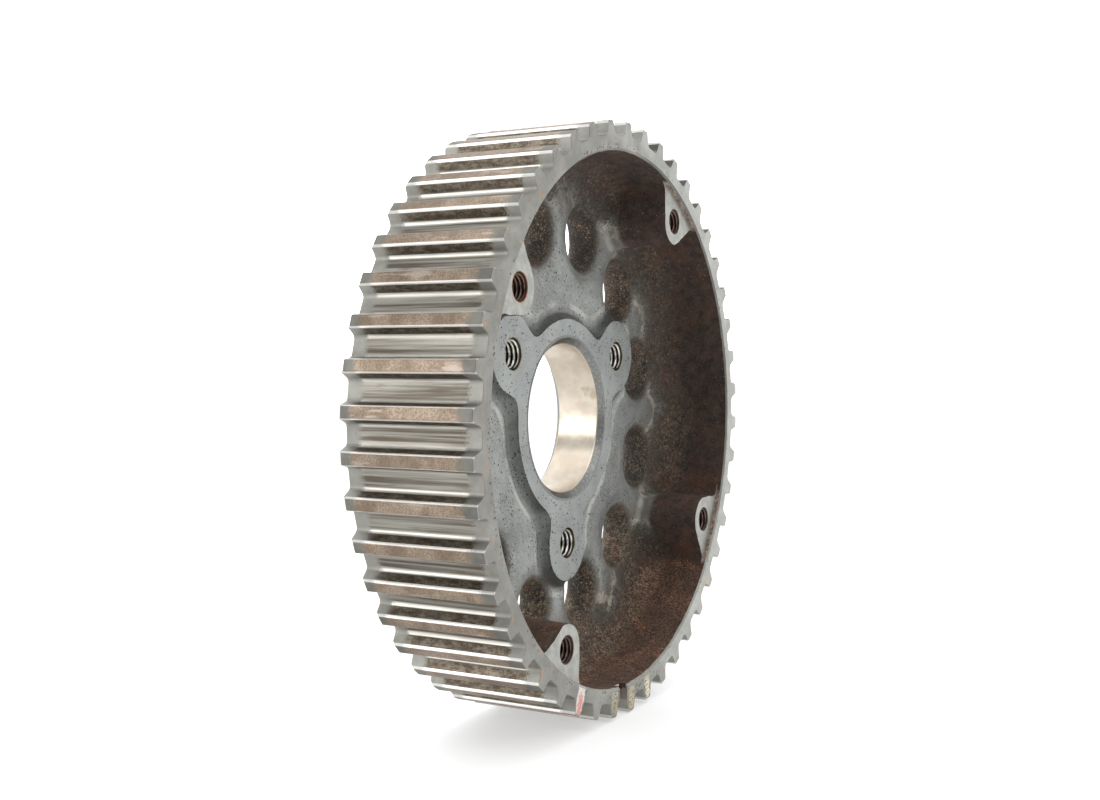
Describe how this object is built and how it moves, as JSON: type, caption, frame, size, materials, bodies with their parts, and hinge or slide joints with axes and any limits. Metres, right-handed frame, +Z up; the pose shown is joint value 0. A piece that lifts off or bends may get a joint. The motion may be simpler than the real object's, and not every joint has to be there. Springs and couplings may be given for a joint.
{
  "type": "timing belt pulley",
  "caption": "Toothed iron timing belt pulley with a deep web of round windows, a three-lobed tapped hub and tapped lugs inside its rim.",
  "frame": {"origin": "centre of the wheel, on its axis, half way across the rim", "axes": "+Y along the axis towards the back, away from the lugs; +Z up, with the timing notch straight down at -Z; +X to the right seen from the front"},
  "size_m": [0.1156, 0.0272, 0.1158],
  "materials": {
    "machined_iron": "machined grey iron: belt-polished tooth tips, dull phosphated flanks, fine surface pits",
    "cast_iron": "as-cast grey iron, rough, with brown rust and oily dirt in the corners",
    "ground_steel": "ground bore and fresh thread flanks, bright with brown tints",
    "marking_paint": "thick hand-dabbed marking paint, worn"
  },
  "bodies": {
    "root": {"toothed_rim": "machined_iron", "web_outer_ring": "cast_iron", "web_spoke_01": "cast_iron", "web_spoke_02": "cast_iron", "web_spoke_03": "cast_iron", "web_spoke_04": "cast_iron", "web_spoke_05": "cast_iron", "web_spoke_06": "cast_iron", "web_spoke_07": "cast_iron", "web_spoke_08": "cast_iron", "web_spoke_09": "cast_iron", "web_spoke_10": "cast_iron", "web_spoke_11": "cast_iron", "web_spoke_12": "cast_iron", "web_panel_1": "cast_iron", "web_panel_2": "cast_iron", "web_panel_3": "cast_iron", "hub": "machined_iron", "rim_lug_1": "cast_iron", "rim_lug_2": "cast_iron", "rim_lug_3": "cast_iron", "rim_lug_4": "cast_iron"}
  },
  "joints": []
}
